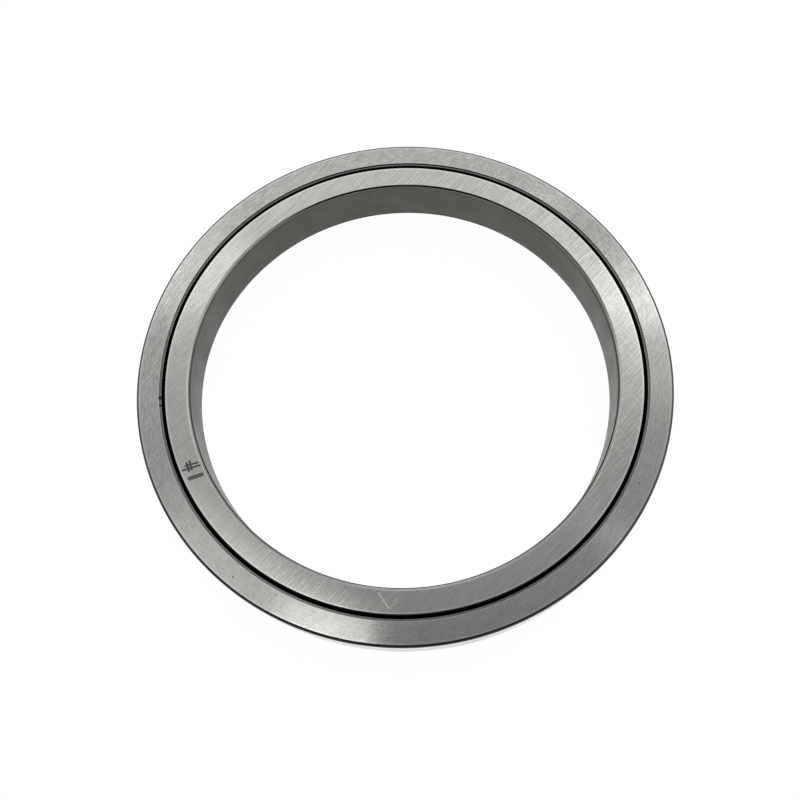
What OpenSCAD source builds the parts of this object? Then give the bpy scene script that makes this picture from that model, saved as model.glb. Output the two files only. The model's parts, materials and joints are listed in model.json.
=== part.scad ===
// Crossed roller bearing with a split outer ring.
// Millimetres. The origin is the centre of the lower face, and +Z runs along the bore.

/* [Rings] */
// Diameter of the bore
bore_d = 140; // [128:1:180]
// Radial height of the section, from the bore to the outside
section_h = 17.5; // [15:0.25:22]
// Width over both faces
width = 18; // [15:0.5:26]
// Chamfer at both ends of the bore
bore_chamfer = 1; // [0.3:0.1:1.6]
// Chamfer at both ends of the outside diameter
outside_chamfer = 0.9; // [0.3:0.1:1.6]
// Radial gap between the lands of the two rings
ring_gap = 1; // [0.6:0.1:1.6]
// Chamfer on the inner ring's land beside the gap
inner_land_chamfer = 0.25; // [0.1:0.05:0.6]
// Chamfer on the outer ring's land beside the gap
outer_land_chamfer = 0.7; // [0.2:0.05:1]
// Edge break where a raceway meets its land
mouth_break = 0.2; // [0.1:0.05:0.5]
// Width of the grinding relief at the bottom of each raceway
relief_w = 1.2; // [0.6:0.1:2]
// Depth of the grinding relief below the edges of the raceway
relief_depth = 0.9; // [0.7:0.1:1.2]

/* [Rollers] */
// Diameter of a roller
roller_d = 8; // [6:0.1:8.6]
// Number of rollers, an even number because they cross in turn
roller_count = 52; // [36:2:52]
// Chamfer on the edges of a roller
roller_chamfer = 0.4; // [0.1:0.05:0.8]
// Clearance between a roller's side and the raceways
roller_play = 0.1; // [0.05:0.01:0.2]
// Clearance between a roller's end and the raceway beside it
roller_end_play = 0.3; // [0.2:0.05:0.5]

/* [Spacers] */
// How far a spacer reaches round each of its rollers
spacer_wrap = 1.7; // [0.8:0.1:2.4]
// Clearance between a spacer and its rollers
spacer_play = 0.15; // [0.1:0.01:0.25]
// Clearance between a spacer and the raceways
spacer_flank_play = 0.35; // [0.25:0.05:0.6]
// Width trimmed off each corner of a spacer
spacer_trim = 0.9; // [0.5:0.1:1.5]
// Diameter of the grease hole through a spacer
spacer_hole_d = 2.2; // [1:0.1:3]

/* [Lubrication] */
// Width of the groove round the outside
groove_w = 2.5; // [1.5:0.1:4]
// Depth of the groove
groove_depth = 1; // [0.5:0.1:1.2]
// Number of oil holes
oil_hole_count = 3; // [1:1:6]
// Diameter of an oil hole
oil_hole_d = 2; // [1:0.1:2.4]

/* [Retaining clips] */
// Number of clips that hold the outer ring's halves together
clip_count = 3; // [2:1:4]
// Length of a clip along the bore
clip_length = 12; // [10:0.5:13]
// Width of a clip round the ring
clip_w = 5; // [3:0.5:7]
// Thickness of a clip
clip_t = 1; // [0.6:0.1:1.4]
// How far a clip lies below the outside of the ring
clip_setback = 0.2; // [0.1:0.05:0.5]
// Distance between the two legs of a clip
leg_pitch = 7; // [6:0.5:8]
// Diameter of a leg
leg_d = 2; // [1:0.1:2.4]
// Length of a leg below the clip's plate
leg_length = 2.5; // [1.5:0.1:2.8]
// Clearance round a clip's plate and at the ends of its legs
clip_play = 0.1; // [0.05:0.05:0.3]
// Clearance round a leg
leg_play = 0.05; // [0.02:0.01:0.1]

/* [Hidden] */
ring_steel = [0.66, 0.66, 0.64];
roller_steel = [0.76, 0.76, 0.76];
spring_steel = [0.36, 0.36, 0.38];
spacer_plastic = [0.85, 0.82, 0.72];
ring_fn = 180;
roller_fn = 48;
hole_fn = 32;
// Extra reach of a cut past the face that it opens
overcut = 1;
crossing_angle = 45;
full_turn = 360;
first_clip_angle = 90;

bore_r = bore_d / 2;
outside_r = bore_r + section_h;
split_z = width / 2;
pitch_r = bore_r + section_h / 2;
inner_land_r = pitch_r - ring_gap / 2;
outer_land_r = pitch_r + ring_gap / 2;

// The raceways are square to each other, so a flank's clearance sets the depth of the vee
vee_depth = (roller_d / 2 + roller_play) * sqrt(2);
mouth_half = vee_depth - ring_gap / 2;
inner_relief_edge_r = pitch_r - vee_depth + relief_w / 2;
inner_relief_r = inner_relief_edge_r - relief_depth;
outer_relief_edge_r = pitch_r + vee_depth - relief_w / 2;
outer_relief_r = outer_relief_edge_r + relief_depth;
groove_r = outside_r - groove_depth;

roller_r = roller_d / 2;
roller_length = roller_d + 2 * roller_play - 2 * roller_end_play;
roller_step = full_turn / roller_count;

// A spacer fills the room between two rollers and reaches round both
spacer_web = 2 * pitch_r * sin(roller_step / 2) - roller_d - 2 * spacer_play;
spacer_length = spacer_web + 2 * spacer_wrap;
spacer_side = roller_d + 2 * roller_play - 2 * spacer_flank_play;

clip_seat_r = outside_r - clip_setback - clip_t;
clip_step = full_turn / clip_count;
oil_hole_step = full_turn / oil_hole_count;
first_oil_hole_angle = first_clip_angle + clip_step / 2;

function two_digits(i) = i < 10 ? str("0", i) : str(i);
function roller_name(i) = str("roller_", two_digits(i));
function clip_name(k) = str("retaining_clip_", k);
function roller_angle(i) = (i - 1) * roller_step;
function clip_angle(k) = first_clip_angle + (k - 1) * clip_step;
function oil_hole_angle(k) = first_oil_hole_angle + (k - 1) * oil_hole_step;
// Odd rollers lean outwards and up, even ones outwards and down
function roller_lean(i) = i % 2 == 1 ? crossing_angle : 180 - crossing_angle;

// Places its children on the pitch circle, at mid width
module on_pitch_circle(angle) {
    rotate([0, 0, angle])
        translate([pitch_r, 0, split_z])
            children();
}

// Section of the whole inner ring, bore on the left and raceway on the right
module inner_ring_section() {
    polygon([
        [bore_r + bore_chamfer, 0],
        [inner_land_r - inner_land_chamfer, 0],
        [inner_land_r, inner_land_chamfer],
        [inner_land_r, split_z - mouth_half - mouth_break],
        [inner_land_r - mouth_break, split_z - mouth_half + mouth_break],
        [inner_relief_edge_r, split_z - relief_w / 2],
        [inner_relief_r, split_z - relief_w / 2],
        [inner_relief_r, split_z + relief_w / 2],
        [inner_relief_edge_r, split_z + relief_w / 2],
        [inner_land_r - mouth_break, split_z + mouth_half - mouth_break],
        [inner_land_r, split_z + mouth_half + mouth_break],
        [inner_land_r, width - inner_land_chamfer],
        [inner_land_r - inner_land_chamfer, width],
        [bore_r + bore_chamfer, width],
        [bore_r, width - bore_chamfer],
        [bore_r, bore_chamfer]
    ]);
}

// Section of the outer ring's lower half, from its face up to the split
module outer_half_section() {
    polygon([
        [outer_land_r + outer_land_chamfer, 0],
        [outside_r - outside_chamfer, 0],
        [outside_r, outside_chamfer],
        [outside_r, split_z - groove_w / 2],
        [groove_r, split_z - groove_w / 2],
        [groove_r, split_z],
        [outer_relief_r, split_z],
        [outer_relief_r, split_z - relief_w / 2],
        [outer_relief_edge_r, split_z - relief_w / 2],
        [outer_land_r + mouth_break, split_z - mouth_half + mouth_break],
        [outer_land_r, split_z - mouth_half - mouth_break],
        [outer_land_r, outer_land_chamfer]
    ]);
}

// Outline of a clip's plate with round ends, grown by a clearance
module clip_outline(grow) {
    end_r = clip_w / 2 + grow;
    straight = clip_length - clip_w;
    square([2 * end_r, straight], center = true);
    for (end = [-1, 1])
        translate([0, end * straight / 2])
            circle(r = end_r, $fn = hole_fn);
}

// A round bar that runs outwards from a radius, at a height from the split
module radial_bar(from_r, length, d, height) {
    translate([from_r, 0, split_z + height])
        rotate([0, 90, 0])
            cylinder(h = length, d = d, $fn = hole_fn);
}

// A plate that faces outwards, with its back at a radius
module radial_plate(back_r, thickness, grow) {
    translate([back_r, 0, split_z])
        rotate([90, 0, 90])
            linear_extrude(thickness)
                clip_outline(grow);
}

// Pocket and leg holes that a clip drops into
module clip_seat() {
    hole_d = leg_d + 2 * leg_play;
    hole_depth = leg_length + clip_play;
    radial_plate(clip_seat_r, clip_t + clip_setback + overcut, clip_play);
    for (side = [-1, 1])
        radial_bar(clip_seat_r - hole_depth, hole_depth + overcut, hole_d, side * leg_pitch / 2);
}

// Everything that is cut through both halves of the outer ring
module outer_ring_cuts() {
    for (k = [1 : clip_count])
        rotate([0, 0, clip_angle(k)])
            clip_seat();
    for (k = [1 : oil_hole_count])
        rotate([0, 0, oil_hole_angle(k)])
            radial_bar(outer_relief_r - overcut, outside_r - outer_relief_r + 2 * overcut, oil_hole_d, 0);
}

module inner_ring() {
    color(ring_steel)
        rotate_extrude($fn = ring_fn)
            inner_ring_section();
}

module outer_ring_lower() {
    color(ring_steel)
        difference() {
            rotate_extrude($fn = ring_fn)
                outer_half_section();
            outer_ring_cuts();
        }
}

module outer_ring_upper() {
    color(ring_steel)
        difference() {
            translate([0, 0, width])
                mirror([0, 0, 1])
                    rotate_extrude($fn = ring_fn)
                        outer_half_section();
            outer_ring_cuts();
        }
}

module roller(i) {
    half = roller_length / 2;
    color(roller_steel)
        on_pitch_circle(roller_angle(i))
            rotate([0, roller_lean(i), 0])
                rotate_extrude($fn = roller_fn)
                    polygon([
                        [0, -half],
                        [roller_r - roller_chamfer, -half],
                        [roller_r, roller_chamfer - half],
                        [roller_r, half - roller_chamfer],
                        [roller_r - roller_chamfer, half],
                        [0, half]
                    ]);
}

// Room that a roller needs in the spacers on both sides of it
module roller_room(i) {
    on_pitch_circle(roller_angle(i))
        rotate([0, roller_lean(i), 0])
            cylinder(h = 2 * roller_d, r = roller_r + spacer_play, center = true, $fn = roller_fn);
}

// A square block on its corner, trimmed, that lies along the pitch circle
module spacer_block() {
    corner_width = spacer_side * sqrt(2) - 2 * spacer_trim;
    rotate([90, 0, 0])
        linear_extrude(spacer_length, center = true)
            intersection() {
                rotate(crossing_angle)
                    square(spacer_side, center = true);
                square(corner_width, center = true);
            }
}

// The saddle-shaped spacer between roller i and the next one
module spacer(i) {
    next = i % roller_count + 1;
    difference() {
        on_pitch_circle(roller_angle(i) + roller_step / 2) {
            difference() {
                spacer_block();
                rotate([90, 0, 0])
                    cylinder(h = spacer_length + overcut, d = spacer_hole_d, center = true, $fn = hole_fn);
            }
        }
        roller_room(i);
        roller_room(next);
    }
}

module spacers() {
    color(spacer_plastic)
        for (i = [1 : roller_count])
            spacer(i);
}

module retaining_clip(k) {
    color(spring_steel)
        rotate([0, 0, clip_angle(k)]) {
            radial_plate(clip_seat_r, clip_t, 0);
            for (side = [-1, 1])
                radial_bar(clip_seat_r - leg_length, leg_length + clip_t / 2, leg_d, side * leg_pitch / 2);
        }
}

inner_ring();
outer_ring_upper();
outer_ring_lower();
spacers();
for (k = [1 : clip_count])
    retaining_clip(k);
for (i = [1 : roller_count])
    roller(i);
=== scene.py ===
"""Crossed roller bearing: ground steel rings, crossed rollers, the spacers between them and spring clips."""

import json
import math

import bmesh
import bpy
from bpy.props import FloatProperty, FloatVectorProperty, IntProperty, PointerProperty
from mathutils import Matrix, Vector


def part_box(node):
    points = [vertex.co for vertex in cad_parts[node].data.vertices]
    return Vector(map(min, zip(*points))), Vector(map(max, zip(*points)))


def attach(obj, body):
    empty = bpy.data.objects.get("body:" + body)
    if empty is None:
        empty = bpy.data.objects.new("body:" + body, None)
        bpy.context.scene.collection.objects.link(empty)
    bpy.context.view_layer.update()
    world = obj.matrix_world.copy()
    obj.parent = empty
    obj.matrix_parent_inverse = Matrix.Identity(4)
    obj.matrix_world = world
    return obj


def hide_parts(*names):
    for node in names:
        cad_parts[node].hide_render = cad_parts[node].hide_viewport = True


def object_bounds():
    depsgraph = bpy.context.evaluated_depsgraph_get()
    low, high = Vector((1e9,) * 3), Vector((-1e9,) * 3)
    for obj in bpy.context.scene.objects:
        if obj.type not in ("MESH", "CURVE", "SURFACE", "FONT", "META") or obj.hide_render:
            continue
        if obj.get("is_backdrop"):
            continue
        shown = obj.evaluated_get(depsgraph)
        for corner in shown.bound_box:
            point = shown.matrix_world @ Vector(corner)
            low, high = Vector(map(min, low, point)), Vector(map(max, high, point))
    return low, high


bl_info = {
    "name": "Crossed roller bearing",
    "version": (1, 0, 0),
    "blender": (4, 5, 0),
    "location": "3D View > Sidebar > Bearing",
    "description": "Ground rings, crossed rollers, spacers and clips of a bearing with a split outer ring",
    "category": "Object",
}

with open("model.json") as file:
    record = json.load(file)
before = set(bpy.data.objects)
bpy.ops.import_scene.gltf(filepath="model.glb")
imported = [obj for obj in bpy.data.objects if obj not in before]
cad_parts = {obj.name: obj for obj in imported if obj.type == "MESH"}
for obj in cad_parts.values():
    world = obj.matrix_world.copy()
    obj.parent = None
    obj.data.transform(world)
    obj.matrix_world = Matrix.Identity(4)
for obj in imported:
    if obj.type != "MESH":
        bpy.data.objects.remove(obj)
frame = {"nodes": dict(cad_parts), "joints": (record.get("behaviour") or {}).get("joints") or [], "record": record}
CAD_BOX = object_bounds()

MM = 0.001
FULL_TURN = 2 * math.pi

# What the frame says about the bearing
MOUNTS = {mount["name"]: mount for mount in frame["record"]["mounts"]}
JOINT_OF = {joint["child"]: joint for joint in frame["joints"]}
ROLLERS = sorted(name for name in frame["nodes"] if name.startswith("roller_"))
CLIPS = sorted(name for name in frame["nodes"] if name.startswith("retaining_clip_"))
BORE_R = MOUNTS["shaft_bore"]["dims"]["r_mm"] * MM
OUTSIDE_R = MOUNTS["housing_seat"]["dims"]["r_mm"] * MM
WIDTH = CAD_BOX[1].z
SPLIT_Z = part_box("outer_ring_lower")[1].z
PITCH_R = Vector(JOINT_OF[ROLLERS[0]]["pos_m"][:2]).length
INNER_LAND_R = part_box("inner_ring")[1].x
OUTER_LAND_R = 2 * PITCH_R - INNER_LAND_R

# Finish zones of a ring's section, in the order of its material slots
FACE, EDGE, SEAT, RACEWAY, LEAD, MARK = range(6)

# How far the wall of the ledge leans outwards, for each unit of its height
LEDGE_LEAN = 0.15
# Straight steps in a quarter round, in the rounding of a corner, in a round end and round a bar
QUARTER_STEPS, CORNER_STEPS, END_STEPS, BAR_STEPS = 5, 4, 8, 32
# Largest share of a stretch that a rounding takes, and its support point's distance as a share of its reach
CORNER_SHARE, SUPPORT_SHARE = 0.3, 0.4
# Points closer together than this are one
MERGE = 1e-7
# Least angle of an edge that stays sharp in the shading, and of an edge that is rounded on a clip
SHARP_ANGLE, BEVEL_ANGLE = math.radians(30), math.radians(50)
BEVEL_STEPS = 3

# Scribed strokes on the inner ring's upper face: radius in mm and angle in degrees of both ends, width in mm
SCRIBED_STROKES = (
    (76.0, -156.9, 72.1, -156.4, 1.25),
    (77.0, -159.5, 71.5, -158.9, 0.6),
    (75.8, -160.2, 71.8, -159.8, 0.6),
    (75.1, -160.8, 75.3, -158.7, 0.7),
    (74.0, -161.0, 74.3, -158.7, 0.65),
)
# Bright scratches on the inner ring's upper face: both ends in mm
FACE_SCRATCHES = (
    ((-13.5, -70.6), (-10.9, -75.5)),
    ((-11.3, -75.5), (-8.0, -73.8)),
    ((-9.6, -73.7), (-7.9, -72.7)),
    ((67.6, -24.4), (74.1, -18.1)),
    ((71.6, -15.7), (74.4, -18.8)),
    ((71.7, -15.1), (73.5, -12.9)),
    ((63.4, -32.2), (65.8, -34.4)),
    ((65.4, -32.0), (63.8, -34.3)),
)
# Pits in the outer ring's upper face and nicks in its ledge: radius in mm, angle in degrees, diameter in mm
FACE_PITS = ((84.1, -132.6, 0.5), (81.4, -122.8, 0.45), (82.8, -33.1, 0.5))
LEDGE_NICKS = ((79.6, -178.9, 1.35), (79.6, -177.0, 1.0))

# Grinding on the inner ring's face: direction in degrees, lines in a mm, length in mm, seed and weight
INNER_LAY = (
    (40, 1.7, 22.0, 3.0, 1.0),
    (43, 3.2, 12.0, 41.0, 1.7),
    (20, 2.2, 12.0, 77.0, 0.5),
    (118, 2.6, 9.0, 57.0, 0.9),
)
# Its deeper strokes, and the lines across the outer ring's face: direction, lines, length and seed
DEEP_STROKES = (38, 2.4, 6.0, 19.0)
OUTER_CROSSING = (48, 2.2, 6.0, 15.0)
# Between these two distances along Y, in mm, the grinding lines grow from their weakest to full strength, as
# painted light: they show most where the faces catch the light
LAY_FRONT, LAY_BACK = -50.0, 40.0
# Widths in mm of a face's painted rim highlights, of a bright scratch and of the worn middle of the broad stroke
RIM_WIDTH, SCRATCH_WIDTH, WORN_WIDTH = 0.75, 0.2, 0.6


def mm(name, description, millimetres):
    """Property for a length, which is given here in millimetres."""
    return FloatProperty(
        name=name, description=description, default=millimetres * MM, min=0, unit="LENGTH", precision=5
    )


def tint(name, description, red, green, blue):
    """Property for a colour."""
    return FloatVectorProperty(
        name=name, description=description, default=(red, green, blue), min=0, max=1, subtype="COLOR"
    )


def share(name, description, default):
    """Property for a share between 0 and 1."""
    return FloatProperty(name=name, description=description, default=default, min=0, max=1, subtype="FACTOR")


class RingSizes(bpy.types.PropertyGroup):
    """Sizes of the rings that the frame doesn't give."""

    bore_chamfer: mm("Bore chamfer", "Chamfer between a face and the bore's lead-in", 0.5)
    bore_lead: mm("Bore lead-in", "Length of the bore's eased ends below a face", 1.7)
    bore_ease: mm("Bore ease", "How far the bore's ends are eased", 0.45)
    outside_round: mm("Outside round", "Rounding between a face and the outside", 0.9)
    inner_land_chamfer: mm("Inner land chamfer", "Chamfer on the inner ring beside the gap", 0.38)
    ledge_width: mm("Ledge width", "Width of the ledge on the outer ring beside the gap", 0.62)
    ledge_depth: mm("Ledge depth", "Depth of the ledge below the outer ring's face", 0.45)
    mouth_break: mm("Mouth break", "Edge break where a raceway meets its land", 0.2)
    relief_width: mm("Relief width", "Grinding relief at the bottom of a raceway", 1.2)
    relief_depth: mm("Relief depth", "Depth of the grinding relief", 0.9)
    roller_play: mm("Roller play", "Clearance between a roller and the raceways", 0.1)
    groove_width: mm("Groove width", "Oil groove round the outside", 2.5)
    groove_depth: mm("Groove depth", "Depth of the oil groove", 1.0)
    groove_lip: mm("Groove lip", "Rounding of the oil groove's lips", 0.9)
    oil_hole_diameter: mm("Oil hole", "Diameter of an oil hole", 2.0)
    edge_round: mm("Edge round", "Rounding left on the ground edges", 0.1)
    segments: IntProperty(name="Segments", description="Steps round a ring", default=360, min=24)


class RollerSizes(bpy.types.PropertyGroup):
    """Sizes of a roller that the frame doesn't give."""

    diameter: mm("Diameter", "Diameter of a roller", 8.0)
    length: mm("Length", "Length of a roller", 7.6)
    chamfer: mm("Chamfer", "Chamfer on a roller's edges", 0.4)
    edge_round: mm("Edge round", "Rounding beside the chamfer", 0.12)
    # Painted shade on the rollers' ends, where the narrow gap shades them: how far it reaches from the rims and
    # how wide it fades
    grease_reach: mm("Grease reach", "How far grease reaches from a roller's rims", 3.0)
    grease_fade: mm("Grease fade", "Width over which the grease thins out", 0.8)
    segments: IntProperty(name="Segments", description="Steps round a roller", default=40, min=12)


class ClipSizes(bpy.types.PropertyGroup):
    """Sizes of a retaining clip and of its seat."""

    length: mm("Length", "Length of the plate along the bore", 12.0)
    width: mm("Width", "Width of the plate round the ring", 5.0)
    thickness: mm("Thickness", "Thickness of the plate", 1.0)
    setback: mm("Setback", "How far the plate lies below the outside", 0.2)
    leg_pitch: mm("Leg pitch", "Distance between the two legs", 7.0)
    leg_diameter: mm("Leg diameter", "Diameter of a leg", 2.0)
    leg_length: mm("Leg length", "Length of a leg below the plate", 2.5)
    plate_play: mm("Plate play", "Clearance round the plate and past the legs", 0.1)
    leg_play: mm("Leg play", "Clearance round a leg", 0.05)
    edge_round: mm("Edge round", "Rounding on the plate's edges", 0.15)


class MarkSizes(bpy.types.PropertyGroup):
    """Sizes of the scribed strokes and of the wear on the faces."""

    stroke_depth: mm("Stroke depth", "Depth of a scribed stroke", 0.05)
    pit_depth: mm("Pit depth", "Depth of a pit in a face", 0.08)


class FinishColours(bpy.types.PropertyGroup):
    """Colours of the finishes."""

    inner_face: tint("Inner ring face", "Cross-ground face", 0.625, 0.625, 0.613)
    outer_face: tint("Outer ring face", "Satin turned face", 0.56, 0.56, 0.55)
    bore_chamfer: tint("Bore chamfers", "Ground chamfers of the bore", 0.5, 0.5, 0.485)
    # Painted shade: the ledges' dark grey stands in for the shade that the gap walls cast on them
    ledge: tint("Ledges", "Turned ledges beside the gap", 0.23, 0.23, 0.222)
    # Painted dark reflection: the bore and its lead-ins are near-black for the dark floor that the bore mirrors
    bore: tint("Bore", "Ground bore under a film of oil", 0.0855, 0.086, 0.0775)
    bore_lead: tint("Bore lead-ins", "Eased ends of the bore", 0.115, 0.115, 0.106)
    outside: tint("Outside", "Ground outside diameter", 0.62, 0.62, 0.61)
    # Painted dark reflection: the rounded outside edges are dark for the dark room that they mirror
    outside_round: tint("Outside edges", "Dark rounded edges of the outside", 0.13, 0.13, 0.125)
    # Painted shade: the raceways and lands are near-black for the shade inside the narrow gap
    raceway: tint("Raceways", "Honed raceways and lands under grease", 0.07, 0.07, 0.067)
    etch: tint("Scribed strokes", "Burnt bottom of a scribed stroke", 0.11, 0.105, 0.1)
    roller: tint("Rollers", "Lapped rollers", 0.5, 0.5, 0.49)
    # Painted shade: near-black for the rollers' ends, which lie in the shade of the narrow gap
    grease: tint("Grease", "Dark grease at the rollers' ends", 0.005, 0.005, 0.004)
    clip: tint("Clips", "Oiled spring steel", 0.17, 0.17, 0.18)
    # Painted shade: the spacers are near-black for the shade deep in the gap between the rings
    spacer: tint("Spacers", "Moulded plastic under grease", 0.008, 0.0078, 0.007)


class StageSettings(bpy.types.PropertyGroup):
    """Camera, floor and light."""

    eye: FloatVectorProperty(
        name="Camera", description="Place of the camera", default=(0, -0.10534, 0.27528),
        subtype="TRANSLATION",
    )
    aim: FloatVectorProperty(
        name="Aim", description="Point on the upper face at the middle of the view",
        default=(-0.00163, -0.01040, 0.018), subtype="TRANSLATION",
    )
    roll: FloatProperty(
        name="Roll", description="Turn of the camera about its view", default=math.radians(-6.469),
        subtype="ANGLE",
    )
    lens: FloatProperty(name="Lens", description="Focal length in millimetres", default=38.28, min=1)
    floor_radius: FloatProperty(
        name="Floor radius", description="Radius of the floor", default=2.0, min=0.2, unit="LENGTH"
    )
    floor_glow: share("Floor glow", "Share of the floor's white that is free of shadow", 0.92)
    backward: share("Behind", "Brightness of the room towards the back", 0.8)
    low_band: share("Low band", "Least brightness of the room near the floor", 0.3)
    left_wall: share("Left wall", "Brightness added by the wall on the left", 0.3)
    right_wall: share("Right wall", "Brightness added by the wall on the right", 0.5)


class BearingSettings(bpy.types.PropertyGroup):
    """Everything about the bearing that a user may change."""

    rings: PointerProperty(type=RingSizes)
    rollers: PointerProperty(type=RollerSizes)
    clips: PointerProperty(type=ClipSizes)
    marks: PointerProperty(type=MarkSizes)
    colours: PointerProperty(type=FinishColours)
    stage: PointerProperty(type=StageSettings)


# Node trees

FLOAT, VECTOR, GEOMETRY, MATERIAL = (
    "NodeSocketFloat", "NodeSocketVector", "NodeSocketGeometry", "NodeSocketMaterial"
)
SOCKET_OF = {float: FLOAT, int: "NodeSocketInt", tuple: VECTOR}


def spoken(name):
    """A name from the code as a socket or a node tree shows it."""
    return name.replace("_", " ").capitalize()


class NodeBuilder:
    """Short calls that add nodes to one tree and wire them; an input is a value or another node's output."""

    def __init__(self, tree):
        self.tree = tree

    def feed(self, socket, value):
        if isinstance(value, bpy.types.NodeSocket):
            self.tree.links.new(value, socket)
        else:
            socket.default_value = value

    def add(self, kind, inputs=None, **settings):
        node = self.tree.nodes.new(kind)
        for setting, value in settings.items():
            setattr(node, setting, value)
        for socket, value in (inputs or {}).items():
            self.feed(node.inputs[socket], value)
        return node

    def math(self, operation, *values, clamp=False):
        node = self.add("ShaderNodeMath", dict(enumerate(values)), operation=operation, use_clamp=clamp)
        return node.outputs[0]

    def vector(self, operation, *values, output="Vector"):
        node = self.add("ShaderNodeVectorMath", dict(enumerate(values)), operation=operation)
        return node.outputs[output]

    def scaled(self, vector, factor):
        inputs = {0: vector, "Scale": factor}
        return self.add("ShaderNodeVectorMath", inputs, operation="SCALE").outputs["Vector"]

    def split(self, vector):
        return self.add("ShaderNodeSeparateXYZ", {0: vector}).outputs

    def join(self, x, y, z):
        return self.add("ShaderNodeCombineXYZ", {0: x, 1: y, 2: z}).outputs[0]

    def ramp(self, value, start, end, low=0.0, high=1.0):
        """Smooth step of a value between start and end, from low to high."""
        inputs = {"Value": value, "From Min": start, "From Max": end, "To Min": low, "To Max": high}
        return self.add("ShaderNodeMapRange", inputs, interpolation_type="SMOOTHSTEP").outputs[0]

    def noise(self, vector, scale=1.0, detail=3.0, roughness=0.6):
        inputs = {"Vector": vector, "Scale": scale, "Detail": detail, "Roughness": roughness}
        return self.add("ShaderNodeTexNoise", inputs).outputs["Fac"]

    def weigh(self, start, *parts, clamp=True):
        """start plus each part's weight times its distance from its middle, which is a half unless given."""
        total = start
        for value, weight, *middle in parts:
            distance = self.math("SUBTRACT", value, middle[0] if middle else 0.5)
            total = self.math("ADD", total, self.math("MULTIPLY", distance, weight))
        return self.math("ADD", total, 0.0, clamp=True) if clamp else total

    def mix(self, factor, first, second):
        inputs = {"Factor": factor, 6: first, 7: second}
        return self.add("ShaderNodeMix", inputs, data_type="RGBA").outputs[2]

    def tones(self, factor, colour, dark, light):
        """A colour that runs from its dark shade to its light one."""
        return self.mix(factor, shade(colour, dark), shade(colour, light))

    def shared(self, maker, **inputs):
        """Outputs of a node group that all its users share."""
        named = {spoken(name): value for name, value in inputs.items()}
        return self.add("ShaderNodeGroup", named, node_tree=tree_once(maker)).outputs

    def close(self, out, **values):
        """Wires the outputs of a finished group and gives its tree."""
        for name, value in values.items():
            self.feed(out[spoken(name)], value)
        return self.tree


def node_group(kind, inputs, outputs):
    """A new node group: its builder, inputs and outputs. An input is given by its default or its type."""
    tree = bpy.data.node_groups.new("tree", kind)
    for name, given in inputs.items():
        is_type = isinstance(given, str)
        socket_type = given if is_type else SOCKET_OF[type(given)]
        socket = tree.interface.new_socket(name, in_out="INPUT", socket_type=socket_type)
        if not is_type:
            socket.default_value = given
    for name, socket_type in outputs.items():
        tree.interface.new_socket(name, in_out="OUTPUT", socket_type=socket_type)
    build = NodeBuilder(tree)
    return build, build.add("NodeGroupInput").outputs, build.add("NodeGroupOutput").inputs


def tree_once(maker):
    """A node tree that is named after its maker, made on first use."""
    tree = bpy.data.node_groups.get(spoken(maker.__name__))
    if tree is None:
        tree = maker()
        tree.name = spoken(maker.__name__)
    return tree


def lathe_tree():
    """Turns the outline of a section round Z, with one material for each finish zone."""
    zones = ("Face material", "Edge material", "Seat material", "Raceway material", "Lead material")
    inputs = {"Outline": GEOMETRY, "Segments": 360, "Outline points": 8, "Closing rows": 1}
    inputs.update(dict.fromkeys(zones, MATERIAL))
    build, given, out = node_group("GeometryNodeTree", inputs, {"Solid": GEOMETRY})
    columns = build.math("ADD", given["Segments"], 1)
    rows = build.math("ADD", given["Outline points"], given["Closing rows"])
    grid = build.add("GeometryNodeMeshGrid", {"Vertices X": columns, "Vertices Y": rows})
    index = build.add("GeometryNodeInputIndex").outputs[0]
    row = build.math("MODULO", build.math("MODULO", index, rows), given["Outline points"])
    column = build.math("FLOOR", build.math("DIVIDE", build.math("ADD", index, 0.5), rows))
    turn = build.math("MULTIPLY", column, build.math("DIVIDE", FULL_TURN, given["Segments"]))

    def sampled(value, place, data_type):
        picked = {"Geometry": given["Outline"], "Value": value, "Index": place}
        node = build.add("GeometryNodeSampleIndex", picked, data_type=data_type, domain="POINT")
        return node.outputs["Value"]

    position = build.add("GeometryNodeInputPosition").outputs[0]
    point = build.split(sampled(position, row, "FLOAT_VECTOR"))
    turned = build.join(
        build.math("MULTIPLY", point["X"], build.math("COSINE", turn)),
        build.math("MULTIPLY", point["X"], build.math("SINE", turn)),
        point["Z"],
    )
    shaped = build.add("GeometryNodeSetPosition", {"Geometry": grid.outputs["Mesh"], "Position": turned})
    attribute = build.add("GeometryNodeInputNamedAttribute", {"Name": "zone"}, data_type="INT")
    face_row = build.math("MODULO", index, build.math("SUBTRACT", rows, 1))
    zone = sampled(attribute.outputs["Attribute"], face_row, "INT")
    solid = shaped.outputs[0]
    for number, name in enumerate(zones):
        compared = {"A": zone, "B": number}
        chosen = build.add("FunctionNodeCompare", compared, data_type="INT", operation="EQUAL")
        picked = {"Geometry": solid, "Selection": chosen.outputs["Result"], "Material": given[name]}
        solid = build.add("GeometryNodeSetMaterial", picked).outputs[0]
    merged = build.add("GeometryNodeMergeByDistance", {"Geometry": solid, "Distance": MERGE})
    realized = build.add("GeometryNodeRealizeInstances", {"Geometry": merged.outputs[0]})
    return build.close(out, solid=realized.outputs[0])


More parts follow.
